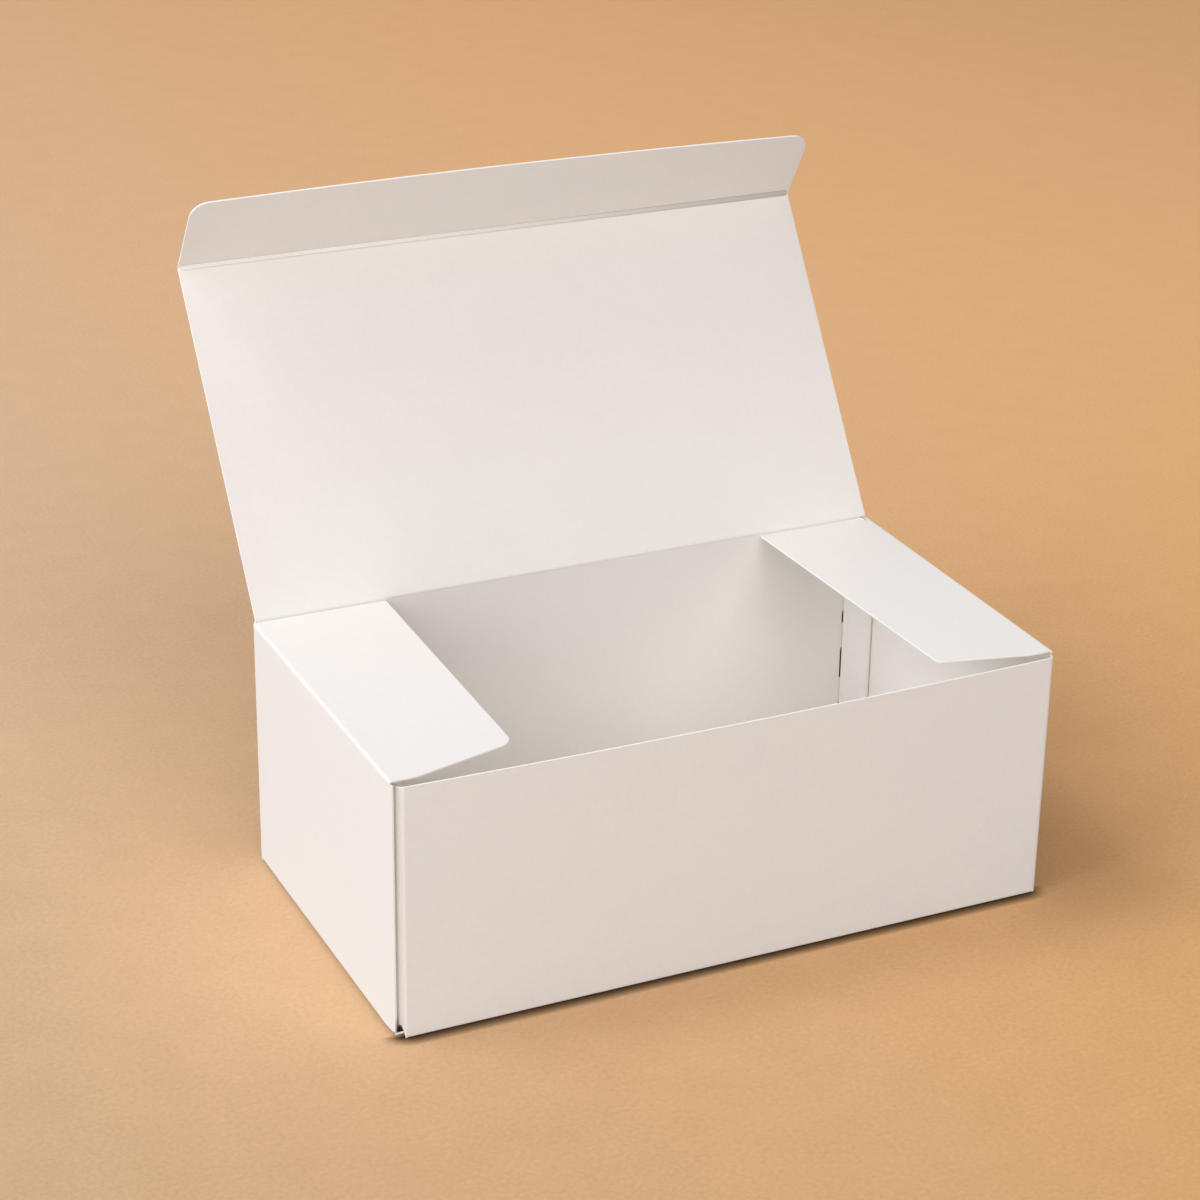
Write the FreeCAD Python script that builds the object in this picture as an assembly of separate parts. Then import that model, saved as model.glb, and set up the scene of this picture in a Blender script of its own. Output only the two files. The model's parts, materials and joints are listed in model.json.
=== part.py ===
import FreeCAD, Part

import math
import os

from FreeCAD import Vector

# Tuck-top takeaway carton, folded from plain white paperboard and standing open.
#
# Two folded and glued blanks make the carton. The front blank is the front panel with
# the right-hand end, the back blank is the back panel with the left-hand end, and each
# has a glue tab inside the other's end. Four panels are hinged on scored creases: the
# lid on the back panel, the tuck flap on the lid, and a dust flap on each end.
#
# Origin: centre of the footprint, on the surface that the carton stands on.
# X runs along the carton to the right, Y to the back, Z up. Millimetres and degrees.

# Board
BOARD = 0.55              # thickness of the paperboard

# Carton, outside
LENGTH = 200.0            # end to end
WIDTH = 107.5             # front to back
HEIGHT = 77.0             # floor to the top of the level dust flaps
FRONT_DROP = 1.7          # the front panel's top edge lies this far below HEIGHT
FRONT_BOW = 1.75          # how far the middle of that edge bows outwards, from straight at the floor

# Folds
CORNER_RADIUS = 1.5       # outside radius of the upright fold between a long wall and its end
TAB_RADIUS = 2.4          # outside radius of the looser upright fold between a long wall and its tab
FLOOR_RADIUS = 1.0        # outside radius of the folds along the floor
CREASE_GAP = 0.12         # between a hinged panel's rounded root and the edge beside it

# Glue tabs
TAB_WIDTH = 10.0          # from the corner's fold to the tab's free edge
TAB_BEVEL = 2.0           # how far a tab's ends are cut back at its free edge
WEB_REACH = 7.0           # the back tab is doubled back to the wall, this far in from the end's outside
WEB_RADIUS = 0.75         # outside radius of that fold
WEB_GAP = 0.4             # from the wall to the outside of the doubled strip's edge
TAB_TOP_GAP = 1.3         # a tab's top lies this far below the level dust flaps' undersides
TAB_FOOT = 3.75           # height where a tab starts, above the floor flaps' layers

# Floor flaps, glued flat on each other
LONG_FLAP_REST = 4.0      # what the front and back floor flaps leave of the width
LONG_FLAP_INSET = 2.7     # their side edge at the tab, in from the end's outside
END_FLAP_DEPTH = 45.0     # how far the end floor flaps reach in
END_FLAP_TAPER = 4.0      # how much each side of an end floor flap is cut back
END_FLAP_GAP = 1.6        # between an end floor flap and the outside of the long walls

# Dust flaps
SWING_ROOM = 1.05         # between a flap's front edge and the shut tuck, which leans in as it shuts
FLAP_BACK_GAP = 0.4       # between a dust flap's back edge and the back panel
FLAP_CORNER_RADIUS = 1.0  # at the corner beside the back panel
RISE_GAP = 0.3            # where an end's top edge starts to drop, before the shoulder
LEFT_DEPTH = 40.4         # left flap, depth in from the end's outside, at the back
LEFT_TIP = (38.2, 9.4)    # its front corner: in from the end, in from the front
LEFT_SLANT = 14.7         # its front edge against the front panel
LEFT_TIP_RADIUS = 5.0
RIGHT_DEPTH = 38.7        # right flap, the same sizes
RIGHT_TIP = (34.2, 7.8)
RIGHT_SLANT = 13.4
RIGHT_TIP_RADIUS = 1.2

# Lid
LID_GAP = 0.4             # between the closed lid and the dust flaps
TUCK_SLACK = 1.6          # between the shut tuck's crease and the front panel's inside
LID_INSET = 0.8           # lid's sides, in from the ends' outsides
LID_TAPER = 0.5           # extra inset of the left side at the tuck crease
LID_OPEN = 123.8          # opening angle as it stands, counted from closed

# Tuck flap
TUCK_DEPTH = 28.2         # crease to the crown of its edge
TUCK_DROP_LEFT = 1.5      # how far the crowned edge falls towards its two ends
TUCK_DROP_RIGHT = 2.3
TUCK_CLEARANCE = 0.3      # between the tuck's sides and what it slides past when closed
TUCK_TAPER = 0.2          # how much each side draws in towards the edge
TUCK_RADIUS_LEFT = 10.0
TUCK_RADIUS_RIGHT = 8.0
TUCK_BEND = 64.3          # bend out of the lid's plane as it stands

# Floor layers: front flap lowest, back flap on it, end flaps on both
FRONT_LEVEL = 0.0
BACK_LEVEL = BOARD
END_LEVEL = 2 * BOARD

# Creases
FLAP_AXIS_X = LENGTH / 2 - BOARD / 2
FLAP_AXIS_Z = HEIGHT - BOARD / 2
LID_AXIS_Y = WIDTH / 2 - BOARD / 2
LID_AXIS_Z = HEIGHT + LID_GAP + BOARD / 2

# What the lid and the tuck need to shut
LID_DEPTH = WIDTH - 2 * BOARD - TUCK_SLACK        # hinge crease to tuck crease
SHOULDER = 2 * BOARD + TUCK_SLACK + SWING_ROOM    # dust flaps' front edge, from the front's outside

# Top edges
FRONT_TOP = HEIGHT - FRONT_DROP
END_TOP = FLAP_AXIS_Z - BOARD / 2 - CREASE_GAP
BACK_TOP = LID_AXIS_Z - BOARD / 2 - CREASE_GAP
TAB_TOP = HEIGHT - BOARD - TAB_TOP_GAP

MARGIN = 5.0              # how far cutting solids reach past what they cut


def in_plan(p, q):
    return Vector(p, q, 0)


def seen_from_right(p, q):
    return Vector(0, p, q)


def seen_from_front(p, q):
    return Vector(p, 0, q)


def seen_from_back(p, q):
    return Vector(-p, 0, q)


def prism(points, view, start, sweep):
    """A straight-sided outline drawn in a view, moved to start and swept."""
    corners = [view(p, q) + start for p, q in points]
    return Part.Face(Part.makePolygon(corners + corners[:1])).extrude(sweep)


def folded_board(corners, radii, view, start, sweep):
    """A board whose outer face runs through the corners, turning left at each by its radius."""
    points = [Vector(p, q, 0) for p, q in corners]
    runs = [(b - a).normalize() for a, b in zip(points, points[1:])]
    lefts = [Vector(-run.y, run.x, 0) for run in runs]
    outer, inner = [points[0]], [points[0] + lefts[0] * BOARD]
    for corner, radius, before, after, left in zip(points[1:], radii, runs, runs[1:], lefts):
        reach = radius * math.tan(before.getAngle(after) / 2)
        centre = corner - before * reach + left * radius
        spokes = [corner - before * reach - centre, corner - centre, corner + after * reach - centre]
        for line, size in ((outer, radius), (inner, radius - BOARD)):
            line.extend(centre + Vector(spoke).normalize() * size for spoke in spokes)
    outer.append(points[-1])
    inner.append(points[-1] + lefts[-1] * BOARD)

    def edges(line):
        placed = [view(point.x, point.y) + start for point in line]
        made = [Part.LineSegment(placed[0], placed[1]).toShape()]
        for i in range(1, len(placed) - 1, 3):
            made.append(Part.Arc(placed[i], placed[i + 1], placed[i + 2]).toShape())
            made.append(Part.LineSegment(placed[i + 2], placed[i + 3]).toShape())
        return made, placed

    outer_edges, outer_ends = edges(outer)
    inner_edges, inner_ends = edges(inner)
    ends = [
        Part.LineSegment(outer_ends[0], inner_ends[0]).toShape(),
        Part.LineSegment(outer_ends[-1], inner_ends[-1]).toShape(),
    ]
    wire = Part.Wire(Part.__sortEdges__(outer_edges + inner_edges + ends))
    return Part.Face(wire).extrude(sweep)


def rounded_root(view, start, sweep, reach):
    """A board reaching from its hinge axis at start, with a full round at its root."""
    half = BOARD / 2
    top, root, foot = view(0, half), view(-half, 0), view(0, -half)
    edges = [
        Part.Arc(top + start, root + start, foot + start).toShape(),
        Part.LineSegment(foot + start, view(reach, -half) + start).toShape(),
        Part.LineSegment(view(reach, -half) + start, view(reach, half) + start).toShape(),
        Part.LineSegment(view(reach, half) + start, top + start).toShape(),
    ]
    return Part.Face(Part.Wire(edges)).extrude(sweep)


def rounded(plate, x, y, radius):
    """The plate with its upright edge nearest (x, y) rounded."""
    uprights = [edge for edge in plate.Edges if edge.BoundBox.XLength + edge.BoundBox.YLength < 1e-6]
    corner = min(uprights, key=lambda e: math.hypot(e.CenterOfMass.x - x, e.CenterOfMass.y - y))
    return plate.makeFillet(radius, [corner])


def bowed_wall(x0, x1, y, z0, z1, bow):
    """A wall along X, straight at its foot, whose top edge bows towards -Y."""
    corners = [(x0, y), (x1, y), (x1, y + BOARD), (x0, y + BOARD)]
    foot = [Vector(*corner, z0) for corner in corners]
    top = [Vector(*corner, z1) for corner in corners]
    out = Vector(0, -bow, 0)
    top_edges = [
        Part.Arc(top[0], (top[0] + top[1]) / 2 + out, top[1]).toShape(),
        Part.LineSegment(top[1], top[2]).toShape(),
        Part.Arc(top[2], (top[2] + top[3]) / 2 + out, top[3]).toShape(),
        Part.LineSegment(top[3], top[0]).toShape(),
    ]
    return Part.makeLoft([Part.makePolygon(foot + foot[:1]), Part.Wire(top_edges)], True, True)


def blank(long_level, long_top, top_line, fold_top, web=False, bow=0.0):
    """One glued blank, drawn as the front one: tab, long wall, right-hand end and floor flaps.

    long_level is the height of the long wall's floor flap. top_line gives the walls' top
    edges from the long wall back along the end, as distances in and heights. fold_top is
    where the tab's top edge starts. With a web the tab is doubled back across the corner.
    bow is how far the long wall's top edge bows outwards.
    """
    left, right = -LENGTH / 2, LENGTH / 2
    front, back = -WIDTH / 2, WIDTH / 2
    wall_foot = END_LEVEL + FLOOR_RADIUS
    tab_face = left + BOARD
    crown = long_top + MARGIN

    plan = [(tab_face, front + TAB_WIDTH), (tab_face, front), (right, front), (right, back)]
    radii = [TAB_RADIUS, CORNER_RADIUS]
    if web:
        plan.insert(0, (left + WEB_REACH, front + BOARD + WEB_GAP))
        radii.insert(0, WEB_RADIUS)
    height = Vector(0, 0, crown - wall_foot)
    walls = folded_board(plan, radii, in_plan, Vector(0, 0, wall_foot), height)
    outside = [(front - MARGIN, long_top)]
    outside += [(front + inward, height) for inward, height in top_line]
    outside += [(back + MARGIN, outside[-1][1]), (back + MARGIN, crown + MARGIN)]
    outside += [(front - MARGIN, crown + MARGIN)]
    length = Vector(LENGTH + 2 * MARGIN, 0, 0)
    walls = walls.cut(prism(outside, seen_from_right, Vector(left - MARGIN, 0, 0), length))

    # Bevelled ends of the glue tab, and its foot cut clear of the floor folds
    tab_start, tab_end = front + TAB_RADIUS, front + TAB_WIDTH + MARGIN
    bevel = TAB_BEVEL * (TAB_WIDTH + MARGIN - TAB_RADIUS) / (TAB_WIDTH - TAB_RADIUS)
    tab_slab = Vector(MARGIN + 2 * BOARD, 0, 0)
    top = [(tab_start, fold_top), (tab_end, fold_top - bevel), (tab_end, crown + MARGIN)]
    top += [(tab_start, crown + MARGIN)]
    foot = [(tab_start, TAB_FOOT), (tab_end, TAB_FOOT + bevel), (tab_end, -MARGIN), (tab_start, -MARGIN)]
    for outline in (top, foot):
        walls = walls.cut(prism(outline, seen_from_right, Vector(left - MARGIN, 0, 0), tab_slab))
    if web:
        inner_x, inner_y = left + 2 * BOARD, front + BOARD
        outline = [
            (inner_x, inner_y + TAB_RADIUS), (inner_x + TAB_RADIUS, inner_y),
            (left + WEB_REACH + MARGIN, inner_y), (left + WEB_REACH + MARGIN, tab_end), (inner_x, tab_end),
        ]
        web_top = Vector(0, 0, fold_top - TAB_BEVEL)
        walls = walls.cut(prism(outline, in_plan, web_top, height))
        walls = walls.cut(prism(outline, in_plan, Vector(), Vector(0, 0, TAB_FOOT + TAB_BEVEL)))
    flap_side = left + LONG_FLAP_INSET
    fold_foot = [
        (left - MARGIN, -MARGIN), (flap_side, -MARGIN), (flap_side, long_level + FLOOR_RADIUS),
        (tab_face + BOARD, TAB_FOOT), (left - MARGIN, TAB_FOOT),
    ]
    depth = Vector(0, TAB_RADIUS + MARGIN, 0)
    walls = walls.cut(prism(fold_foot, seen_from_front, Vector(0, front - MARGIN, 0), depth))

    if bow:
        wall_start, wall_end = tab_face + TAB_RADIUS, right - CORNER_RADIUS
        flat = Part.makeBox(wall_end - wall_start, BOARD, crown, Vector(wall_start, front, wall_foot))
        walls = walls.cut(flat).fuse(bowed_wall(wall_start, wall_end, front, wall_foot, long_top, bow))

    # Long wall's foot, fold and floor flap
    flap_end = right - CORNER_RADIUS
    long_floor = folded_board(
        [(front, wall_foot), (front, long_level), (back - LONG_FLAP_REST, long_level)],
        [FLOOR_RADIUS], seen_from_right, Vector(flap_side, 0, 0), Vector(flap_end - flap_side, 0, 0),
    )

    # The upright fold beside the end runs on down to the end flap's level
    corner_foot = folded_board(
        [(flap_end - BOARD, front), (right, front), (right, front + CORNER_RADIUS + BOARD)],
        [CORNER_RADIUS], in_plan, Vector(0, 0, END_LEVEL), Vector(0, 0, FLOOR_RADIUS),
    )
    keep = Part.makeBox(
        CORNER_RADIUS, CORNER_RADIUS, FLOOR_RADIUS, Vector(flap_end, front, END_LEVEL))
    corner_foot = corner_foot.common(keep)

    # End's fold and floor flap, with tapered sides
    fold_start, fold_end = front + CORNER_RADIUS, back - CORNER_RADIUS
    end_floor = folded_board(
        [(left, wall_foot + BOARD), (left, END_LEVEL), (left + END_FLAP_DEPTH, END_LEVEL)],
        [FLOOR_RADIUS], seen_from_back, Vector(0, fold_start, 0), Vector(0, fold_end - fold_start, 0),
    )
    flap_edge = right - END_FLAP_DEPTH - MARGIN
    taper = END_FLAP_TAPER * (END_FLAP_DEPTH + MARGIN) / END_FLAP_DEPTH
    root = right - FLOOR_RADIUS - BOARD
    for side in (-1, 1):
        edge_y = side * (WIDTH / 2 - END_FLAP_GAP)
        outline = [
            (root, edge_y), (flap_edge, edge_y - side * taper),
            (flap_edge, side * (WIDTH / 2 + MARGIN)), (root, side * (WIDTH / 2 + MARGIN)),
        ]
        end_floor = end_floor.cut(prism(outline, in_plan, Vector(), Vector(0, 0, wall_foot)))

    return walls.multiFuse([long_floor, corner_foot, end_floor]).removeSplitter()


def front_shell():
    """Front panel, right-hand end, tab inside the left-hand end and two floor flaps."""
    top_line = [(CORNER_RADIUS, FRONT_TOP), (SHOULDER - RISE_GAP, END_TOP)]
    return blank(FRONT_LEVEL, FRONT_TOP, top_line, FRONT_TOP, bow=FRONT_BOW)


def back_shell():
    """Back panel, left-hand end, doubled tab inside the right-hand end and two floor flaps.

    It is the front one's shape turned half round, and its end runs on to the front.
    """
    step = BOARD + FLAP_BACK_GAP / 2
    top_line = [
        (step, BACK_TOP), (step, END_TOP), (WIDTH - SHOULDER + RISE_GAP, END_TOP),
        (WIDTH - CORNER_RADIUS, FRONT_TOP),
    ]
    shell = blank(BACK_LEVEL, BACK_TOP, top_line, TAB_TOP, web=True)
    shell.rotate(Vector(), Vector(0, 0, 1), 180)
    return shell


def dust_flap(side, depth, tip, slant, tip_radius):
    """A dust flap lying level; side is -1 on the left-hand end and 1 on the right-hand end."""
    front, flap_back = -WIDTH / 2, WIDTH / 2 - BOARD - FLAP_BACK_GAP
    tip_in, tip_back = tip
    shoulder_end = tip_in - (tip_back - SHOULDER) / math.tan(math.radians(slant))

    def across(inward):
        return side * (LENGTH / 2 - inward)

    outline = [
        (across(-MARGIN), front + SHOULDER), (across(shoulder_end), front + SHOULDER),
        (across(tip_in), front + tip_back), (across(depth), flap_back), (across(-MARGIN), flap_back),
    ]
    plate = prism(outline, in_plan, Vector(0, 0, HEIGHT - 2 * BOARD), Vector(0, 0, 3 * BOARD))
    plate = rounded(plate, *outline[2], tip_radius)
    plate = rounded(plate, *outline[3], FLAP_CORNER_RADIUS)
    axis = Vector(side * FLAP_AXIS_X, front, FLAP_AXIS_Z)
    view = seen_from_back if side > 0 else seen_from_front
    return rounded_root(view, axis, Vector(0, WIDTH, 0), depth + MARGIN).common(plate)


def hinged_on_x(outline, roundings):
    """A panel drawn flat, hinge axis along X and panel towards +Y, inside face up."""
    plate = prism(outline, in_plan, Vector(0, 0, -BOARD), Vector(0, 0, 2 * BOARD))
    for x, y, radius in roundings:
        plate = rounded(plate, x, y, radius)
    reach = max(y for _, y in outline) + MARGIN
    root = rounded_root(seen_from_right, Vector(-LENGTH / 2, 0, 0), Vector(LENGTH, 0, 0), reach)
    return root.common(plate)


def stand(panel, turn, y, z):
    """The flat panel turned up about its hinge axis and moved to it."""
    panel.rotate(Vector(), Vector(1, 0, 0), turn)
    panel.translate(Vector(0, y, z))
    return panel


def lid():
    """The lid, from the back panel's crease to just short of the tuck's."""
    side = LENGTH / 2 - LID_INSET
    edge = LID_DEPTH - BOARD / 2 - CREASE_GAP
    outline = [(-side, -BOARD), (side, -BOARD), (side, edge), (LID_TAPER - side, edge), (-side, 0)]
    return stand(hinged_on_x(outline, []), 180 - LID_OPEN, LID_AXIS_Y, LID_AXIS_Z)


def tuck_flap():
    """The tuck flap: straight sides, a crowned edge and round corners."""
    left_side = LENGTH / 2 - 2 * BOARD - TUCK_CLEARANCE
    right_side = LENGTH / 2 - BOARD - TUCK_CLEARANCE
    left_height, right_height = TUCK_DEPTH - TUCK_DROP_LEFT, TUCK_DEPTH - TUCK_DROP_RIGHT
    left_corner = Vector(TUCK_TAPER - left_side, left_height, 0)
    right_corner = Vector(right_side - TUCK_TAPER, right_height, 0)
    left_root, right_root = Vector(-left_side, -BOARD, 0), Vector(right_side, -BOARD, 0)
    edges = [
        Part.LineSegment(left_root, right_root).toShape(),
        Part.LineSegment(right_root, right_corner).toShape(),
        Part.Arc(right_corner, Vector(0, TUCK_DEPTH, 0), left_corner).toShape(),
        Part.LineSegment(left_corner, left_root).toShape(),
    ]
    plate = Part.Face(Part.Wire(edges)).extrude(Vector(0, 0, 2 * BOARD))
    plate.translate(Vector(0, 0, -BOARD))
    plate = rounded(plate, left_corner.x, left_corner.y, TUCK_RADIUS_LEFT)
    plate = rounded(plate, right_corner.x, right_corner.y, TUCK_RADIUS_RIGHT)
    start, sweep = Vector(-LENGTH / 2, 0, 0), Vector(LENGTH, 0, 0)
    panel = rounded_root(seen_from_right, start, sweep, TUCK_DEPTH + MARGIN).common(plate)
    slope = math.radians(180 - LID_OPEN)
    crease_y = LID_AXIS_Y + LID_DEPTH * math.cos(slope)
    crease_z = LID_AXIS_Z + LID_DEPTH * math.sin(slope)
    return stand(panel, 180 - LID_OPEN + TUCK_BEND, crease_y, crease_z)


def main():
    nodes = {
        "front_shell": front_shell(),
        "back_shell": back_shell(),
        "lid": lid(),
        "tuck_flap": tuck_flap(),
        "left_dust_flap": dust_flap(-1, LEFT_DEPTH, LEFT_TIP, LEFT_SLANT, LEFT_TIP_RADIUS),
        "right_dust_flap": dust_flap(1, RIGHT_DEPTH, RIGHT_TIP, RIGHT_SLANT, RIGHT_TIP_RADIUS),
    }
    os.makedirs("parts", exist_ok=True)
    for name, shape in nodes.items():
        solid = shape.Solids[0]
        solid.exportStep(f"parts/{name}.step")
        print(name, len(shape.Solids), solid.isValid(), round(solid.Volume, 2), solid.BoundBox)


main()
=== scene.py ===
import json
import math

import bmesh
import bpy
from mathutils import Matrix, Vector


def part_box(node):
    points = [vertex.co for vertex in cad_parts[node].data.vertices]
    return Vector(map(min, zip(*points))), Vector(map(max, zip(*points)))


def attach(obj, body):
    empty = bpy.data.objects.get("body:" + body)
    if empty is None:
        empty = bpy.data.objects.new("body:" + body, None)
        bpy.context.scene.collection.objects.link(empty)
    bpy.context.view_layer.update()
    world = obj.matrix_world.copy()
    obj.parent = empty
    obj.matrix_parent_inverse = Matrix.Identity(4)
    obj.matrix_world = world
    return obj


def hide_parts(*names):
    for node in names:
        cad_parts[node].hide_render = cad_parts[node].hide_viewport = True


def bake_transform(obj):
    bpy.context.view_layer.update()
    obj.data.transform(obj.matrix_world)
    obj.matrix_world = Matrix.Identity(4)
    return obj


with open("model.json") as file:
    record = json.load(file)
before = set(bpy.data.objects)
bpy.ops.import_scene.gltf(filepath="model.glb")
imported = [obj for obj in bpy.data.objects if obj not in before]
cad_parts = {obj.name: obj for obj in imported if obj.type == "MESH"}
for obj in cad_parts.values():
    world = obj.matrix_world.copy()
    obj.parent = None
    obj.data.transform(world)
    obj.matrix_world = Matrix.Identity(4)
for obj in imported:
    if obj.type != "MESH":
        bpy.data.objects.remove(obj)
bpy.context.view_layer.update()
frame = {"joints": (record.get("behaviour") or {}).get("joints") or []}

# Tuck-top takeaway carton in plain white paperboard, standing open on a warm paper sweep.
# Metres. The walls and floor flaps are two folded sheets, and each hinged panel is a sheet
# that carries its own fold.

MM = 0.001
SAME = 1e-6               # points nearer to a line than this lie on it
TOUCHING = 1e-7           # points nearer than this are one point


# Places from the frame

def joint_place(name):
    return Vector(next(joint["pos_m"] for joint in frame["joints"] if joint["name"] == name))


LEFT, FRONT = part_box("back_shell")[0].xy
RIGHT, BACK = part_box("front_shell")[1].xy
FLAP_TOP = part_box("left_dust_flap")[1].z
BOARD = FLAP_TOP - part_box("left_dust_flap")[0].z
BACK_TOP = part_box("back_shell")[1].z
LID_HINGE, TUCK_HINGE = joint_place("lid_hinge"), joint_place("tuck_fold")
LID_UP = (TUCK_HINGE - LID_HINGE).normalized()
LID_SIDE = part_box("lid")[1].x
TUCK_LEFT, TUCK_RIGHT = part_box("tuck_flap")[0].x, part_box("tuck_flap")[1].x

# Walls
FRONT_TOP = FLAP_TOP - 1.7 * MM
FRONT_BOW = 1.75 * MM     # how far the middle of the front panel's top bows outward
CORNER_RADIUS = 1.5 * MM
CORNER_FOOT = 0.1 * MM    # how far a corner's foot is above its floor layer
END_RISE = 0.8 * MM       # length over which the top edge changes height past a corner
END_SETBACK = 0.5 * MM    # from a long wall's outer face to the raw edge of the end beside it
EDGE_PRESS = 0.4 * MM     # how far that raw edge is pressed inward, and over what length
EDGE_PRESS_RUN = 4.5 * MM

# Glue tab, with a flat facet between it and the long wall
TAB_WIDTH = 10.0 * MM
TAB_LIFT = 5.5 * MM       # where the tab leaves the end that it is glued to
TAB_RADIUS = 4.0 * MM
TAB_SHOULDER = 2.4 * MM   # where the slant of the tab's ends starts
TAB_BEVEL = 2.0 * MM      # height of that slant
TAB_FOOT = 3.75 * MM
TAB_TOP_GAP = 1.3 * MM
BEVEL_START = 2.35 * MM   # from here to the inset the foot slants down to the bevel's foot
TAB_INSET = 3.15 * MM
BEVEL_FOOT = 1.3 * MM
FACET_START = 2.0 * MM
TAB_FACET = 1.45 * MM     # how far the facet runs, both along the front and behind it
FACET_END = FACET_START + TAB_FACET
FACET_RADIUS = 0.4 * MM
WEB_REACH = 7.0 * MM      # the back blank's tab is doubled back along its wall as far as this
WEB_RADIUS = 0.75 * MM
WEB_GAP = 0.4 * MM
WEB_START = BOARD + 0.3 * MM  # past the tab's own plane

# Floor flaps
FLOOR_LAYERS = {"front": 0.0, "back": BOARD, "end": 2 * BOARD}
FLOOR_RADIUS = 0.8 * MM
LONG_FLAP_REST = 4.0 * MM  # from a long wall's flap to the wall opposite
END_FLAP_DEPTH = 45.0 * MM
END_FLAP_TAPER = 4.0 * MM

# Folds of the hinged panels
FLAP_FOLD = 0.7 * MM      # outside radius of the dust flaps' folds
FLAP_LEG = 0.35 * MM      # straight part below the fold
LID_FOLD = 0.45 * MM      # how far from its corner a fold starts
TUCK_FOLD = 0.2 * MM
LID_END_GAP = BOARD / 2 + 0.12 * MM  # from the tuck's hinge to the end of the lid's panel
PANEL_LINES = (0.3 * MM, 1.2 * MM)   # past a fold, lines that keep its shading narrow

# Outlines of the hinged panels
SHOULDER = 1.5 * MM       # from the front to the dust flaps' front edges
FLAP_BACK_GAP = 0.15 * MM
FLAP_BACK_RADIUS = 0.4 * MM
FLAP_FLARE_RUN = 0.5 * MM  # along the back edge, from the fold to where it reaches its full width
LEFT_FLAP = {"depth": 40.4 * MM, "tip": (38.2 * MM, 9.4 * MM), "slant": 14.7, "tip_radius": 5.0 * MM}
RIGHT_FLAP = {"depth": 37.5 * MM, "tip": (33.8 * MM, 7.8 * MM), "slant": 13.4, "tip_radius": 1.8 * MM}
LID_FLARE = 0.4 * MM      # how much further left the lid reaches at its end
TUCK_DEPTH = 27.4 * MM
TUCK_BEND = math.radians(64.3)

# Outline of the tuck: each pair is its left-hand side and its right-hand side
TUCK_DROP = (1.5 * MM, 2.3 * MM)  # how much less deep a corner is than the crowned middle
TUCK_RADII = (5.3 * MM, 6.0 * MM)
TUCK_FLARE = (0.9 * MM, 0.5 * MM)
TUCK_TAPER = (0.85 * MM, 0.2 * MM)

# Bead and score lines of the tuck's crease: each section is a width and a height
TUCK_BEAD, TUCK_BEAD_RISE = (2.2 * MM, 0.5 * MM), 0.6 * MM
TUCK_SCORE, TUCK_SCORE_RISE = (0.3 * MM, 0.3 * MM), 0.76 * MM
TUCK_SCORE_REACH = 0.75 * MM
BEAD_END_GAP = 0.6 * MM
BEAD_SIDES = 20

# Divisions
CUT_EDGE = 0.1 * MM       # softening of the board's cut edges
CUT_EDGE_ANGLE = math.radians(40)
NARROW = 0.15 * MM        # part beside a fold, which keeps the fold's shading narrow
NARROW_ROW = 0.003        # the same at a wall's foot and top, as a share of its height
STEP = 0.3 * MM           # between two upright edges that make a step in a sheet's outline
FOLD_STEPS = 8
FOLD_STEP = 0.3 * MM      # about how long a step round an upright fold is
ROUND_STEPS = 10          # round a panel's corner
CROWN_CUTS = 24           # along the tuck's crowned edge
ROWS = 12                 # up a wall
LONG_COLUMNS, END_COLUMNS, TAB_COLUMNS, WEB_COLUMNS = 28, 16, 3, 4
RISE_COLUMNS = 2
FLAP_ROWS = 4             # across a long wall's floor flap


def outer_side(up):
    """Which way the outer face of a panel looks that runs along up from a crease along X."""
    return Vector((0, -up.z, up.y))


# Mesh helpers

def verts_of(edges):
    return list({vert for edge in edges for vert in edge.verts})


def cut_across(bm, place, across):
    """Adds edges where a plane through the place meets the sheet."""
    bmesh.ops.bisect_plane(
        bm, geom=bm.verts[:] + bm.edges[:] + bm.faces[:], dist=TOUCHING, plane_co=place, plane_no=across,
    )


def sweep(bm, edges, offset, parts=1):
    """Extrudes the edges along offset in equal parts and returns the last edges."""
    for _ in range(parts):
        made = bmesh.ops.extrude_edge_only(bm, edges=edges)["geom"]
        verts = {item for item in made if isinstance(item, bmesh.types.BMVert)}
        bmesh.ops.translate(bm, verts=list(verts), vec=offset / parts)
        edges = [
            item for item in made
            if isinstance(item, bmesh.types.BMEdge) and verts.issuperset(item.verts)
        ]
    return edges


def stretch(bm, edges, offset, parts):
    """A sweep with a narrow part at each end, which keeps the shading of the folds beside it narrow."""
    narrow = offset.normalized() * min(NARROW, offset.length / 3)
    edges = sweep(bm, edges, narrow)
    edges = sweep(bm, edges, offset - narrow * 2, parts)
    return sweep(bm, edges, narrow)


def fold(bm, edges, centre, axis, angle, steps=FOLD_STEPS):
    """Spins the edges round the fold's centre line and returns the last edges."""
    made = bmesh.ops.spin(
        bm, geom=edges + verts_of(edges), cent=centre, axis=axis, angle=angle, steps=steps,
    )["geom_last"]
    return [item for item in made if isinstance(item, bmesh.types.BMEdge)]


def walk(bm, edges, corners, radii, parts):
    """Carries upright edges along the corners in plan, turning left at each by its radius."""
    place = corners[0]
    for corner, after, radius, count in zip(corners[1:], corners[2:], radii, parts):
        before = (corner - place).normalized()
        onward = (after - corner).normalized()
        angle = before.angle(onward)
        tangent = radius * math.tan(angle / 2)
        edges = stretch(bm, edges, corner - before * tangent - place, count)
        centre = corner - before * tangent + Vector((-before.y, before.x, 0)) * radius
        steps = max(2, min(FOLD_STEPS, math.ceil(angle * radius / FOLD_STEP)))
        edges = fold(bm, edges, centre, (0, 0, 1), angle, steps)
        place = corner + onward * tangent
    return edges, place


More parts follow.
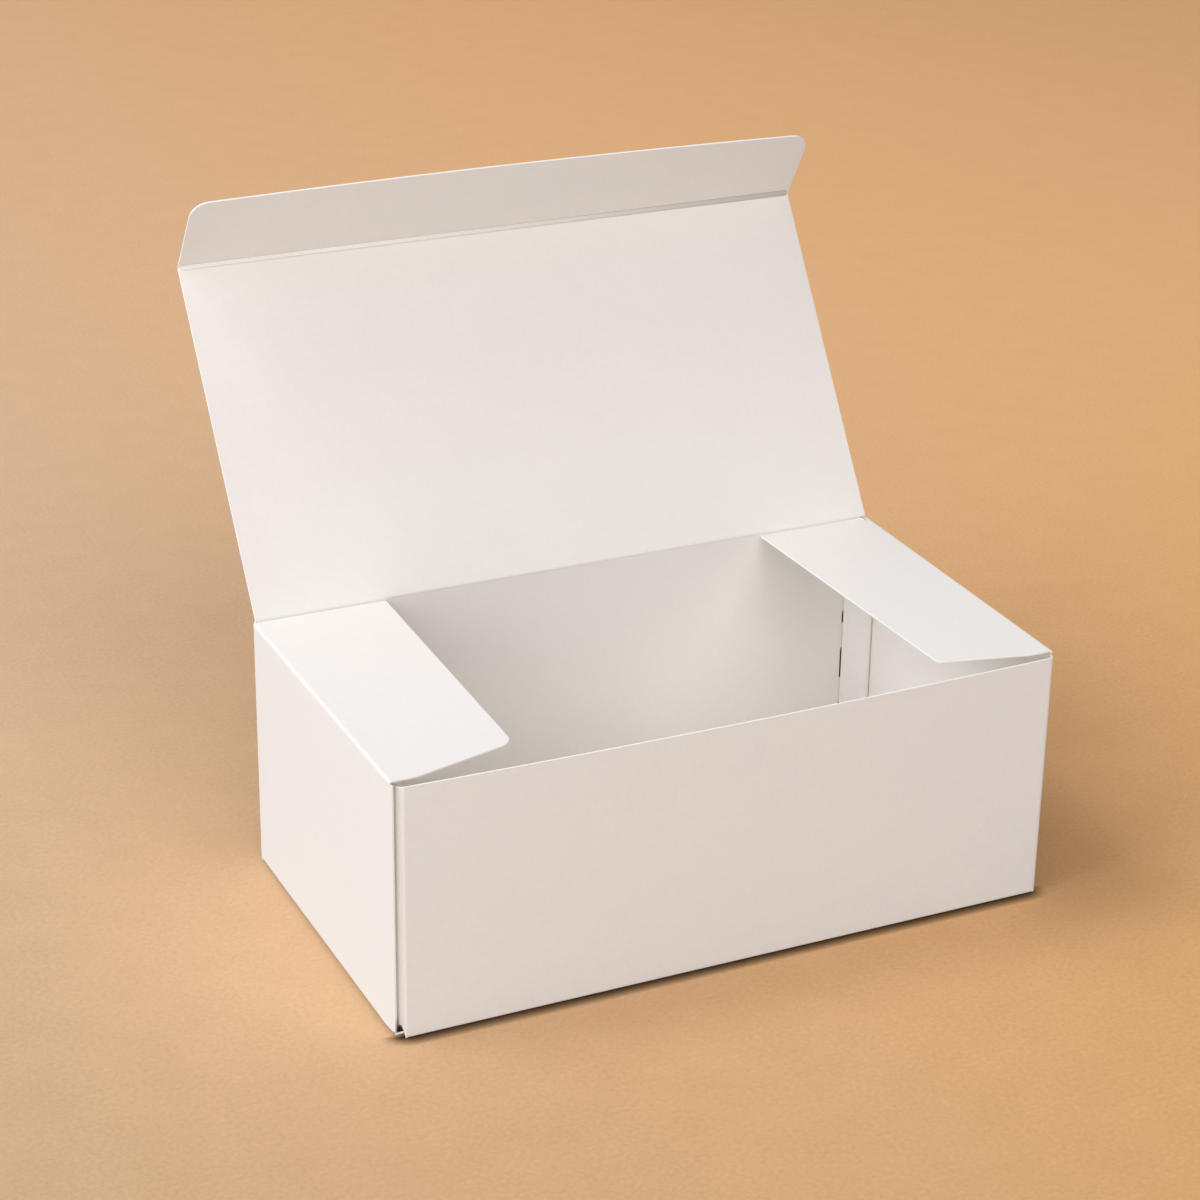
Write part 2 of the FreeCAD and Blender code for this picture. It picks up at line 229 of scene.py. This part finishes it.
def face_towards(bm, outward):
    """Makes the faces consistent, with the largest one facing outward."""
    bmesh.ops.recalc_face_normals(bm, faces=bm.faces)
    largest = max(bm.faces, key=lambda face: face.calc_area())
    if largest.normal.dot(outward) < 0:
        bmesh.ops.reverse_faces(bm, faces=bm.faces)


def piece_from(name, bm, materials):
    """Puts the finished mesh into the scene as a piece."""
    mesh = bpy.data.meshes.new(name)
    bm.to_mesh(mesh)
    bm.free()
    for material in materials:
        mesh.materials.append(material)
    piece = bpy.data.objects.new(name, mesh)
    bpy.context.scene.collection.objects.link(piece)
    return piece


def board_piece(name, bm, outward, materials):
    """A sheet whose faces are the board's outer side, given its thickness and soft cut edges."""
    face_towards(bm, outward)
    for face in bm.faces:
        face.smooth = True
    piece = piece_from(name, bm, materials)
    thickness = piece.modifiers.new("board", "SOLIDIFY")
    thickness.thickness = BOARD
    thickness.offset = -1
    thickness.use_even_offset = True
    thickness.material_offset_rim = 1
    softness = piece.modifiers.new("cut_edges", "BEVEL")
    softness.width = CUT_EDGE
    softness.segments = 2
    softness.limit_method = "ANGLE"
    softness.angle_limit = CUT_EDGE_ANGLE
    softness.use_clamp_overlap = False
    softness.harden_normals = True
    return piece


# Carton: two folded sheets

def outline_heights(x, y, long_level, long_foot, long_top, end_top, tab_top):
    """Foot and top of a blank's walls at a place in plan."""
    inward, behind = x - LEFT, y - FRONT
    if behind > BOARD / 2 and x < RIGHT - CORNER_RADIUS:
        if inward > FACET_END or (behind > TAB_LIFT and inward > WEB_START):
            return TAB_FOOT + TAB_BEVEL, tab_top - TAB_BEVEL
    if inward < TAB_INSET:
        if behind > TAB_SHOULDER:
            share = (behind - TAB_SHOULDER) / (TAB_WIDTH - TAB_SHOULDER)
            return TAB_FOOT + TAB_BEVEL * share, tab_top - TAB_BEVEL * share
        share = max(0.0, (inward - BEVEL_START) / (TAB_INSET - BEVEL_START))
        return TAB_FOOT + (BEVEL_FOOT - TAB_FOOT) * share, long_top
    if behind < SAME:
        return long_foot, long_top
    if inward < FACET_END:
        return long_level + CORNER_FOOT, long_top
    if behind <= CORNER_RADIUS + STEP / 2:
        top = long_top if behind < BOARD or long_top < end_top else end_top
        return long_level + CORNER_FOOT, top
    rise = min(1.0, (behind - CORNER_RADIUS) / END_RISE)
    top = end_top if long_top > end_top else long_top + (end_top - long_top) * rise
    return FLOOR_LAYERS["end"] + FLOOR_RADIUS, top


def standing_strip(bm, web):
    """The walls in plan, one unit high: tab, long wall and right-hand end."""
    tab_x = LEFT + BOARD
    corners = [
        Vector((tab_x, FRONT + TAB_WIDTH, 0)), Vector((tab_x, FRONT + TAB_LIFT, 0)),
        Vector((LEFT + FACET_START, FRONT + TAB_FACET, 0)), Vector((LEFT + FACET_END, FRONT, 0)),
        Vector((RIGHT, FRONT, 0)), Vector((RIGHT, BACK, 0)),
    ]
    radii = [TAB_RADIUS, FACET_RADIUS, FACET_RADIUS, CORNER_RADIUS]
    parts = [TAB_COLUMNS, 1, 1, LONG_COLUMNS]
    if web:
        corners.insert(0, Vector((LEFT + WEB_REACH, FRONT + BOARD + WEB_GAP, 0)))
        radii.insert(0, WEB_RADIUS)
        parts.insert(0, WEB_COLUMNS)
    heights = [0, NARROW_ROW, *(row / ROWS for row in range(1, ROWS)), 1 - NARROW_ROW, 1]
    upright = [bm.verts.new(corners[0] + Vector((0, 0, height))) for height in heights]
    edges = [bm.edges.new(pair) for pair in zip(upright, upright[1:])]
    edges, place = walk(bm, edges, corners, radii, parts)
    edges = sweep(bm, edges, Vector((0, STEP, 0)))
    edges = sweep(bm, edges, Vector((0, END_RISE, 0)), RISE_COLUMNS)
    sweep(bm, edges, Vector((0, BACK - END_SETBACK - place.y - STEP - END_RISE, 0)), END_COLUMNS)
    for inward in (BEVEL_START, TAB_INSET - STEP / 2, TAB_INSET + STEP / 2):
        cut_across(bm, (LEFT + inward, 0, 0), (1, 0, 0))
    for behind in (TAB_SHOULDER - STEP / 2, TAB_SHOULDER + STEP / 2):
        cut_across(bm, (0, FRONT + behind, 0), (0, 1, 0))


def press_and_bow(vert, height_share, bow):
    """Bows the long wall outward towards its top, and presses the end's raw edge inward."""
    if bow and abs(vert.co.y - FRONT) < SAME:
        start, end = LEFT + FACET_END, RIGHT - CORNER_RADIUS
        share = 1 - ((2 * vert.co.x - start - end) / (end - start)) ** 2
        vert.co.y -= bow * share * height_share
    pressed = 1 - (BACK - END_SETBACK - vert.co.y) / EDGE_PRESS_RUN
    if vert.co.x > RIGHT - SAME and pressed > 0:
        vert.co.x -= EDGE_PRESS * pressed ** 2


def edges_at(bm, height, belongs):
    """The edges that lie at a height and whose ends both belong."""
    return [
        edge for edge in bm.edges
        if all(abs(vert.co.z - height) < TOUCHING and belongs(vert.co) for vert in edge.verts)
    ]


def floor_flaps(bm, long_foot):
    """Folds a floor flap inward from the long wall's foot and one from the end's."""
    edges = edges_at(bm, long_foot, lambda place: abs(place.y - FRONT) < SAME)
    edges = fold(bm, edges, (0, FRONT + FLOOR_RADIUS, long_foot), (1, 0, 0), math.pi / 2)
    sweep(bm, edges, Vector((0, BACK - LONG_FLAP_REST - FRONT - FLOOR_RADIUS, 0)), FLAP_ROWS)
    end_foot = FLOOR_LAYERS["end"] + FLOOR_RADIUS
    edges = edges_at(bm, end_foot, lambda place: (
        place.x > RIGHT - EDGE_PRESS - SAME and place.y > FRONT + CORNER_RADIUS
    ))
    edges = fold(bm, edges, (RIGHT - FLOOR_RADIUS, 0, end_foot), (0, 1, 0), math.pi / 2)
    edges = sweep(bm, edges, Vector((FLOOR_RADIUS - END_FLAP_DEPTH, 0, 0)))
    taper = 1 - END_FLAP_TAPER / BACK
    bmesh.ops.scale(bm, vec=(1, taper, 1), verts=verts_of(edges))


def blank(level, long_top, tab_top, bow=0.0, web=False):
    """One blank, folded up: tab, long wall, right-hand end and their floor flaps."""
    bm = bmesh.new()
    standing_strip(bm, web)
    end_top, long_foot = FLAP_TOP - FLAP_FOLD - FLAP_LEG, level + FLOOR_RADIUS
    for vert in bm.verts:
        foot, top = outline_heights(vert.co.x, vert.co.y, level, long_foot, long_top, end_top, tab_top)
        vert.co.z = foot + (top - foot) * vert.co.z
        press_and_bow(vert, (vert.co.z - foot) / (top - foot), bow)
    floor_flaps(bm, long_foot)
    return bm


def front_shell(materials):
    bm = blank(FLOOR_LAYERS["front"], FRONT_TOP, FRONT_TOP, bow=FRONT_BOW)
    return board_piece("front_blank", bm, Vector((0, -1, -1)), materials)


def back_shell(materials):
    """The same blank with a doubled tab, turned half round."""
    tab_top = FLAP_TOP - BOARD - TAB_TOP_GAP
    bm = blank(FLOOR_LAYERS["back"], BACK_TOP, tab_top, web=True)
    bmesh.ops.rotate(bm, cent=(0, 0, 0), matrix=Matrix.Rotation(math.pi, 3, "Z"), verts=bm.verts)
    return board_piece("back_blank", bm, Vector((0, 1, -1)), materials)


# Hinged panels: each is a flat outline with a short leg on its parent and a bevelled fold between

class Crease:
    """Where a panel's outer face meets its parent's, and which way each of them runs."""

    def __init__(self, corner, along, panel, leg, face):
        self.corner, self.along, self.panel, self.leg, self.face = corner, along, panel, leg, face

    def at(self, along, away):
        return self.corner + self.along * along + self.panel * away

    def distance(self, point):
        return (point - self.corner).dot(self.panel)


def nearest(items, point):
    return min(items, key=lambda item: (item.co - point).length)


def panel_on(crease, outline, roundings, start, leg_length):
    """The outline, drawn as places along and away from the crease, joined to its leg by a fold."""
    bm = bmesh.new()
    corners = [bm.verts.new(crease.at(*place)) for place in outline]
    bm.faces.new(corners)
    root = bm.edges.get(corners[:2])
    sweep(bm, [root], crease.leg * leg_length)
    for number, radius in roundings.items():
        before, corner, after = (Vector(outline[(number + i) % len(outline)]) for i in (-1, 0, 1))
        half = (before - corner).angle(after - corner) / 2
        bmesh.ops.bevel(
            bm, geom=[nearest(bm.verts, crease.at(*corner))], offset=radius / math.tan(half),
            offset_type="OFFSET", segments=ROUND_STEPS, profile=0.5, affect="VERTICES", material=-1,
        )
    bmesh.ops.bevel(
        bm, geom=[root], offset=start, offset_type="OFFSET", segments=FOLD_STEPS, profile=0.5,
        affect="EDGES", material=-1,
    )
    for past_fold in PANEL_LINES:
        cut_across(bm, crease.at(0, start + past_fold), crease.panel)
    return bm


def dust_flap(name, side, materials, depth, tip, slant, tip_radius):
    """A dust flap; side is -1 at the left-hand end and 1 at the right-hand end. The tip is
    given inward from the end and behind the front, and the slant is the front edge's angle."""
    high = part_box(f"{name}_dust_flap")[1]
    end = LEFT if side < 0 else RIGHT
    tip_in, tip_back = tip
    shoulder_end = tip_in - (tip_back - SHOULDER) / math.tan(math.radians(slant))
    shoulder, behind = FRONT + SHOULDER, BACK - BOARD - FLAP_BACK_GAP
    outline = [
        (shoulder, 0), (high.y, 0), (behind, FLAP_FOLD + FLAP_FLARE_RUN), (behind, depth),
        (FRONT + tip_back, tip_in), (shoulder, shoulder_end),
    ]
    crease = Crease(
        Vector((end, 0, FLAP_TOP)), Vector((0, 1, 0)), Vector((-side, 0, 0)), Vector((0, 0, -1)),
        Vector((0, 0, 1)),
    )
    roundings = {3: FLAP_BACK_RADIUS, 4: tip_radius}
    bm = panel_on(crease, outline, roundings, FLAP_FOLD, FLAP_FOLD + FLAP_LEG)
    piece = board_piece(f"{name}_dust_panel", bm, crease.face, materials)
    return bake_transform(piece)


def lid_panel(materials):
    """The lid, from the top of the back panel to just short of the tuck's fold."""
    face = outer_side(LID_UP)
    plane = LID_HINGE + face * BOARD / 2
    corner = plane - LID_UP * (plane.y - (BACK - BOARD)) / LID_UP.y
    corner.x = 0
    crease = Crease(corner, Vector((1, 0, 0)), LID_UP, Vector((0, 0, -1)), face)
    reach = (TUCK_HINGE - corner).dot(LID_UP) - LID_END_GAP
    outline = [(-LID_SIDE, 0), (LID_SIDE, 0), (LID_SIDE, reach), (-LID_SIDE - LID_FLARE, reach)]
    bm = panel_on(crease, outline, {}, LID_FOLD, corner.z - BACK_TOP)
    piece = board_piece("lid_panel", bm, face, materials)
    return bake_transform(piece)


def tuck_direction():
    """From the tuck's crease towards its edge."""
    return Matrix.Rotation(TUCK_BEND, 3, "X") @ LID_UP


def tuck_panel(materials):
    """The tuck flap, with a crowned edge and round corners."""
    up = tuck_direction()
    lid_face, face = outer_side(LID_UP), outer_side(up)
    bend = LID_UP.angle(up)
    corner = TUCK_HINGE + (lid_face + face).normalized() * (BOARD / 2) / math.cos(bend / 2)
    corner.x = 0
    crease = Crease(corner, Vector((1, 0, 0)), up, -LID_UP, face)
    left_reach, right_reach = TUCK_DEPTH - TUCK_DROP[0], TUCK_DEPTH - TUCK_DROP[1]
    left, right = TUCK_LEFT - TUCK_FLARE[0], TUCK_RIGHT + TUCK_FLARE[1]
    outline = [
        (left, 0), (right, 0), (right - TUCK_TAPER[1], right_reach), (left + TUCK_TAPER[0], left_reach),
    ]
    leg = (corner - TUCK_HINGE).dot(LID_UP) + LID_END_GAP
    bm = panel_on(crease, outline, {2: TUCK_RADII[1], 3: TUCK_RADII[0]}, TUCK_FOLD, leg)
    outer = [edge for edge in bm.edges if crease.distance(edge.verts[0].co) > TUCK_DEPTH / 2]
    far = max(outer, key=lambda edge: edge.calc_length())
    bmesh.ops.subdivide_edges(bm, edges=[far], cuts=CROWN_CUTS)
    crown = TUCK_DEPTH - (left_reach + right_reach) / 2
    for vert in bm.verts:
        away = crease.distance(vert.co)
        if away > TUCK_DEPTH / 2:
            across = 1 - (vert.co.x / LID_SIDE) ** 2
            vert.co += up * crown * across * min(1.0, 2 * away / TUCK_DEPTH - 1)
    piece = board_piece("tuck_panel", bm, face, materials)
    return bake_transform(piece)


# Bead and score lines on the inner side of the tuck's crease

def crease_bead(name, centre, section, rise, body, material):
    """A low rounded bead along X, whose section is a width across rise and a height along it."""
    width, height = section
    bm = bmesh.new()
    bmesh.ops.create_cone(
        bm, cap_ends=True, segments=BEAD_SIDES, radius1=0.5, radius2=0.5,
        depth=2 * (LID_SIDE - BEAD_END_GAP),
    )
    across = Vector((1, 0, 0)).cross(rise)
    turned = Matrix((across * width, rise * height, (1, 0, 0))).transposed()
    bmesh.ops.transform(bm, matrix=turned.to_4x4(), verts=bm.verts)
    bmesh.ops.translate(bm, vec=centre, verts=bm.verts)
    for face in bm.faces:
        face.smooth = len(face.verts) == 4
    bead = piece_from(name, bm, [material])
    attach(bead, body)


def crease_beads(board, score):
    """The tuck's crease is scored twice, with a flat bead between the scores. The scores take a darker
    tone, painted shade for their grooves.
    """
    rise = (outer_side(LID_UP) + outer_side(tuck_direction())).normalized()
    across = Vector((1, 0, 0)).cross(rise)
    crease_bead("tuck_bead", TUCK_HINGE + rise * TUCK_BEAD_RISE, TUCK_BEAD, rise, "lid", board)
    for name, side in (("tuck_score_upper", -1), ("tuck_score_lower", 1)):
        place = TUCK_HINGE + rise * TUCK_SCORE_RISE + across * side * TUCK_SCORE_REACH
        crease_bead(name, place, TUCK_SCORE, rise, "lid", score)


# Materials

PAPER_SPECULAR = 0.3
NOISE_MIDDLE = {"From Min": 0.3, "From Max": 0.7}
FIBRE_DRAW = (0.35, 1.0, 1.0)  # fibres are drawn out along X
CLOUD_HEIGHT = 1.5             # height of the formation clouds against the fibres'


class Nodes:
    """Short calls for building a node tree."""

    def __init__(self, tree):
        self.tree = tree

    def feed(self, socket, value):
        """Links another node's output to the socket, or sets the value on it."""
        if isinstance(value, bpy.types.NodeSocket):
            self.tree.links.new(value, socket)
        else:
            socket.default_value = value

    def add(self, kind, inputs=None, **settings):
        node = self.tree.nodes.new(kind)
        for name, value in settings.items():
            setattr(node, name, value)
        for name, value in (inputs or {}).items():
            self.feed(node.inputs[name], value)
        return node

    def noise(self, place, scale, detail, roughness):
        inputs = {"Vector": place, "Scale": scale, "Detail": detail, "Roughness": roughness}
        return self.add("ShaderNodeTexNoise", inputs).outputs["Fac"]

    def spread(self, value, low, high):
        """The noise's middle range, stretched to run from low to high."""
        inputs = {"Value": value, **NOISE_MIDDLE, "To Min": low, "To Max": high}
        return self.add("ShaderNodeMapRange", inputs).outputs["Result"]

    def calculate(self, operation, first, second):
        return self.add("ShaderNodeMath", {0: first, 1: second}, operation=operation).outputs[0]

    def mix(self, share, first, second):
        node = self.add("ShaderNodeMix", {"Factor": share}, data_type="RGBA")
        self.feed(node.inputs[6], first)
        self.feed(node.inputs[7], second)
        return node.outputs[2]


def srgb(red, green, blue):
    """A colour given as it shows on a screen, from 0 to 255."""
    shares = [value / 255 for value in (red, green, blue)]
    return (*(c / 12.92 if c <= 0.04045 else ((c + 0.055) / 1.055) ** 2.4 for c in shares), 1)


def paper_group():
    """Fibres and formation clouds of paper, as a mixing share, a roughness and a height."""
    group = bpy.data.node_groups.new("paper_fibres", "ShaderNodeTree")
    sockets = (
        ("Fibre Scale", "INPUT"), ("Cloud Scale", "INPUT"),
        ("Fibre Share", "INPUT"), ("Cloud Share", "INPUT"),
        ("Roughness Low", "INPUT"), ("Roughness High", "INPUT"),
        ("Tone", "OUTPUT"), ("Roughness", "OUTPUT"), ("Height", "OUTPUT"),
    )
    for name, way in sockets:
        group.interface.new_socket(name=name, in_out=way, socket_type="NodeSocketFloat")
    nodes = Nodes(group)
    given = nodes.add("NodeGroupInput").outputs
    place = nodes.add("ShaderNodeTexCoord").outputs["Object"]
    drawn = nodes.add("ShaderNodeMapping", {"Vector": place, "Scale": FIBRE_DRAW}).outputs["Vector"]
    fibres = nodes.noise(drawn, given["Fibre Scale"], 4.0, 0.65)
    specks = nodes.noise(place, given["Fibre Scale"], 2.0, 0.5)
    clouds = nodes.noise(place, given["Cloud Scale"], 3.0, 0.55)

    speck_tone = nodes.calculate("MULTIPLY", nodes.spread(specks, 0.0, 1.0), given["Fibre Share"])
    cloud_tone = nodes.calculate("MULTIPLY", nodes.spread(clouds, 0.0, 1.0), given["Cloud Share"])
    gloss = nodes.spread(clouds, given["Roughness Low"], given["Roughness High"])
    height = nodes.calculate("ADD", fibres, nodes.calculate("MULTIPLY", clouds, CLOUD_HEIGHT))
    results = nodes.add("NodeGroupOutput").inputs
    nodes.feed(results["Tone"], nodes.calculate("ADD", speck_tone, cloud_tone))
    nodes.feed(results["Roughness"], gloss)
    nodes.feed(results["Height"], height)
    return group


def paper_material(name, group, light, dark, scales, shares, gloss, bump):
    """Matt paper between a light and a dark tone. Scales and shares are the fibres' and the
    clouds'; gloss is the range of the roughness; bump is the fibres' strength and depth."""
    material = bpy.data.materials.new(name)
    material.use_nodes = True
    nodes = Nodes(material.node_tree)
    shader = material.node_tree.nodes["Principled BSDF"]
    paper = nodes.add("ShaderNodeGroup", node_tree=group)
    values = {
        "Fibre Scale": scales[0], "Cloud Scale": scales[1], "Fibre Share": shares[0],
        "Cloud Share": shares[1], "Roughness Low": gloss[0], "Roughness High": gloss[1],
    }
    for socket, value in values.items():
        paper.inputs[socket].default_value = value
    relief = nodes.add("ShaderNodeBump", {
        "Strength": bump[0], "Distance": bump[1], "Height": paper.outputs["Height"],
    })
    nodes.feed(shader.inputs["Base Color"], nodes.mix(paper.outputs["Tone"], light, dark))
    nodes.feed(shader.inputs["Roughness"], paper.outputs["Roughness"])
    nodes.feed(shader.inputs["Normal"], relief.outputs["Normal"])
    shader.inputs["Specular IOR Level"].default_value = PAPER_SPECULAR
    return material


# Floor

FLOOR_HALF = 2.6               # half of the floor's side
FLOOR_DARKER = 0.83            # the paper's darker tone, as a share of the lighter one
FLOOR_SHOWN = (0.566, 0.389, 0.23, 1)
FLOOR_LIT = (0.55, 0.46, 0.4, 1)
DRIFT_REACH = 0.45             # how far from the carton the floor's colour drifts, in metres
DRIFT_RIGHTWARD = (0.265, 0.035, -0.097)
DRIFT_BACKWARD = (0.169, 0.15, 0.141)
# Painted shade: along the front panel's foot, the floor's colour darkens towards the contact colour
# wherever an occlusion test finds the carton near.
CONTACT_REACH = 4.2 * MM       # how far the painted contact shade along the front's foot reaches over the floor
CONTACT_DEPTH = 2.0
CONTACT_SHADE_COLOUR = (0.02, 0.009, 0.003, 1)
CONTACT_LOOK = (0, 0.7, 0.7)   # the way in which the painted shade's occlusion test looks from the floor, towards the front panel
CONTACT_FADE = (FRONT + 1 * MM, FRONT + 3 * MM)


def drifted(nodes, seen, sides):
    """The floor's colour, changed towards the right and towards the back."""
    for side, change in (("X", DRIFT_RIGHTWARD), ("Y", DRIFT_BACKWARD)):
        share = nodes.add("ShaderNodeMapRange", {
            "Value": sides[side], "From Min": -DRIFT_REACH, "From Max": DRIFT_REACH,
        }, interpolation_type="SMOOTHSTEP").outputs["Result"]
        inputs = {0: share, 1: change, 2: seen}
        seen = nodes.add("ShaderNodeVectorMath", inputs, operation="MULTIPLY_ADD").outputs[0]
    return seen


def unshaded_floor_share(nodes, sides):
    """How much of the floor's colour is kept against the painted contact shade: 1 on the open floor,
    falling towards the foot of the front panel; 1 again under the carton.
    """
    look = nodes.add("ShaderNodeCombineXYZ", dict(zip("XYZ", CONTACT_LOOK))).outputs["Vector"]
    inputs = {"Distance": CONTACT_REACH, "Normal": look}
    open_sky = nodes.add("ShaderNodeAmbientOcclusion", inputs, samples=16).outputs["AO"]
    under = nodes.add("ShaderNodeMapRange", {
        "Value": sides["Y"], "From Min": CONTACT_FADE[0], "From Max": CONTACT_FADE[1],
    }).outputs["Result"]
    return nodes.calculate("MAXIMUM", nodes.calculate("POWER", open_sky, CONTACT_DEPTH), under)


def floor_material(group):
    """Warm paper sweep, a little deeper on the left and in front than on the right and behind,
    with a painted shade: a dark line where the front panel meets it. The light that it throws
    on the carton is paler than the colour that is seen."""
    darker = tuple(value * FLOOR_DARKER for value in FLOOR_SHOWN[:3]) + (1,)
    material = paper_material(
        "floor_paper", group, FLOOR_SHOWN, darker, scales=(700.0, 60.0), shares=(0.7, 0.3),
        gloss=(0.8, 0.9), bump=(0.25, 0.0003),
    )
    nodes = Nodes(material.node_tree)
    shader = material.node_tree.nodes["Principled BSDF"]
    place = nodes.add("ShaderNodeTexCoord").outputs["Object"]
    sides = nodes.add("ShaderNodeSeparateXYZ", {"Vector": place}).outputs
    paper = shader.inputs["Base Color"].links[0].from_socket
    unshaded_floor = unshaded_floor_share(nodes, sides)
    seen = nodes.mix(unshaded_floor, CONTACT_SHADE_COLOUR, drifted(nodes, paper, sides))
    # The painted shade dims the floor's gloss as well.
    gloss = nodes.calculate("MULTIPLY", unshaded_floor, PAPER_SPECULAR)
    nodes.feed(shader.inputs["Specular IOR Level"], gloss)
    path = nodes.add("ShaderNodeLightPath").outputs
    looked_at = nodes.calculate("ADD", path["Is Camera Ray"], path["Is Glossy Ray"])
    looked_at = nodes.calculate("ADD", looked_at, path["Is Transmission Ray"])
    nodes.feed(shader.inputs["Base Color"], nodes.mix(looked_at, FLOOR_LIT, seen))
    return material


def paper_floor(material):
    bm = bmesh.new()
    bmesh.ops.create_grid(bm, x_segments=1, y_segments=1, size=FLOOR_HALF)
    piece_from("floor", bm, [material])


# Camera

CAMERA_PLACE = (-0.34992, -0.70336, 0.44269)
CAMERA_ANGLES = (-25.379, 24.287, -0.916)  # azimuth from the front, elevation and roll, in degrees
CAMERA_LENS = 92.07
CAMERA_NEAR = 0.01


def add_camera():
    """A long lens from the front left, a little above the carton."""
    azimuth, elevation, roll = (math.radians(angle) for angle in CAMERA_ANGLES)
    back = Vector((
        math.sin(azimuth) * math.cos(elevation),
        -math.cos(azimuth) * math.cos(elevation),
        math.sin(elevation),
    ))
    right = Vector((0, 0, 1)).cross(back).normalized()
    up = back.cross(right)
    level = Matrix((right, up, back)).transposed()
    turned = level @ Matrix.Rotation(-roll, 3, "Z")
    camera = bpy.data.objects.new("camera", bpy.data.cameras.new("camera"))
    camera.data.lens = CAMERA_LENS
    camera.data.clip_start = CAMERA_NEAR
    camera.matrix_world = Matrix.Translation(CAMERA_PLACE) @ turned.to_4x4()
    bpy.context.scene.collection.objects.link(camera)
    bpy.context.scene.camera = camera


# Studio

LAMP_DISTANCE = 3.2
LAMP_AIM = Vector((0, 0, 0.05))
LAMPS = (  # name, azimuth, elevation, size, power and colour
    ("window_back", 120, 50, 2.4, 20.1, (0.954, 0.969, 1.0)),
    ("window_high", 150, 60, 1.0, 18.7, (0.955, 0.961, 1.0)),
    ("window_left", 180, 35, 2.4, 49.4, (0.93, 0.962, 1.0)),
    ("window_near", 225, 20, 2.4, 20.9, (1.0, 0.976, 0.959)),
    ("card_front", 270, 40, 2.4, 41.8, (1.0, 0.957, 0.932)),
)
WORLD_LIGHT, WORLD_STRENGTH = (0.986, 0.959, 1, 1), 0.125
BACKDROP = srgb(217, 172, 128)


def soft_lamp(name, azimuth, elevation, size, power, colour):
    """A round soft box that faces the carton; azimuth is counted from +X towards +Y."""
    lamp = bpy.data.lights.new(name, "AREA")
    lamp.shape = "DISK"
    lamp.size = size
    lamp.energy = power
    lamp.color = colour
    turned = Matrix.Rotation(math.radians(azimuth), 3, "Z")
    raised = Matrix.Rotation(math.radians(-elevation), 3, "Y")
    place = turned @ raised @ Vector((LAMP_DISTANCE, 0, 0))
    holder = bpy.data.objects.new(name, lamp)
    holder.location = place
    holder.rotation_euler = (place - LAMP_AIM).to_track_quat("Z", "Y").to_euler()
    bpy.context.scene.collection.objects.link(holder)


def studio_world():
    """Even light all round; the camera sees the backdrop's colour past the floor's edge."""
    world = bpy.data.worlds.new("studio")
    world.use_nodes = True
    bpy.context.scene.world = world
    nodes = Nodes(world.node_tree)
    shown = world.node_tree.nodes["Background"]
    shown.inputs["Color"].default_value = WORLD_LIGHT
    shown.inputs["Strength"].default_value = WORLD_STRENGTH
    seen = nodes.add("ShaderNodeBackground", {"Color": BACKDROP, "Strength": 1.0})
    path = nodes.add("ShaderNodeLightPath").outputs["Is Camera Ray"]
    both = nodes.add("ShaderNodeMixShader", {0: path, 1: shown.outputs[0], 2: seen.outputs[0]})
    nodes.feed(world.node_tree.nodes["World Output"].inputs["Surface"], both.outputs[0])


add_camera()
bpy.context.scene.view_settings.view_transform = "Standard"
fibres = paper_group()
board = [
    paper_material(
        "white_board", fibres, srgb(249, 245, 240), srgb(245, 241, 236), scales=(900.0, 45.0),
        shares=(0.65, 0.35), gloss=(0.55, 0.7), bump=(0.12, 0.00006),
    ),
    # The cut edges take a paler tone than the faces: a painted highlight along them.
    paper_material(
        "cut_edge_highlight", fibres, srgb(255, 254, 252), srgb(250, 247, 243), scales=(2500.0, 300.0),
        shares=(0.6, 0.4), gloss=(0.8, 0.9), bump=(0.3, 0.00008),
    ),
]
# Darker tone for the tuck's two score lines: painted shade standing in for the shade in their grooves.
score = paper_material(
    "score_line_shade", fibres, srgb(224, 217, 211), srgb(216, 209, 203), scales=(900.0, 45.0),
    shares=(0.65, 0.35), gloss=(0.7, 0.8), bump=(0.12, 0.00006),
)
paper_floor(floor_material(fibres))

made = {
    "front_shell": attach(front_shell(board), "carton"),
    "back_shell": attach(back_shell(board), "carton"),
    "left_dust_flap": dust_flap("left", -1, board, **LEFT_FLAP),
    "right_dust_flap": dust_flap("right", 1, board, **RIGHT_FLAP),
    "lid": lid_panel(board),
    "tuck_flap": tuck_panel(board),
}
for node, piece in made.items():
    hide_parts(node)

crease_beads(board[0], score)

studio_world()
for lamp in LAMPS:
    soft_lamp(*lamp)
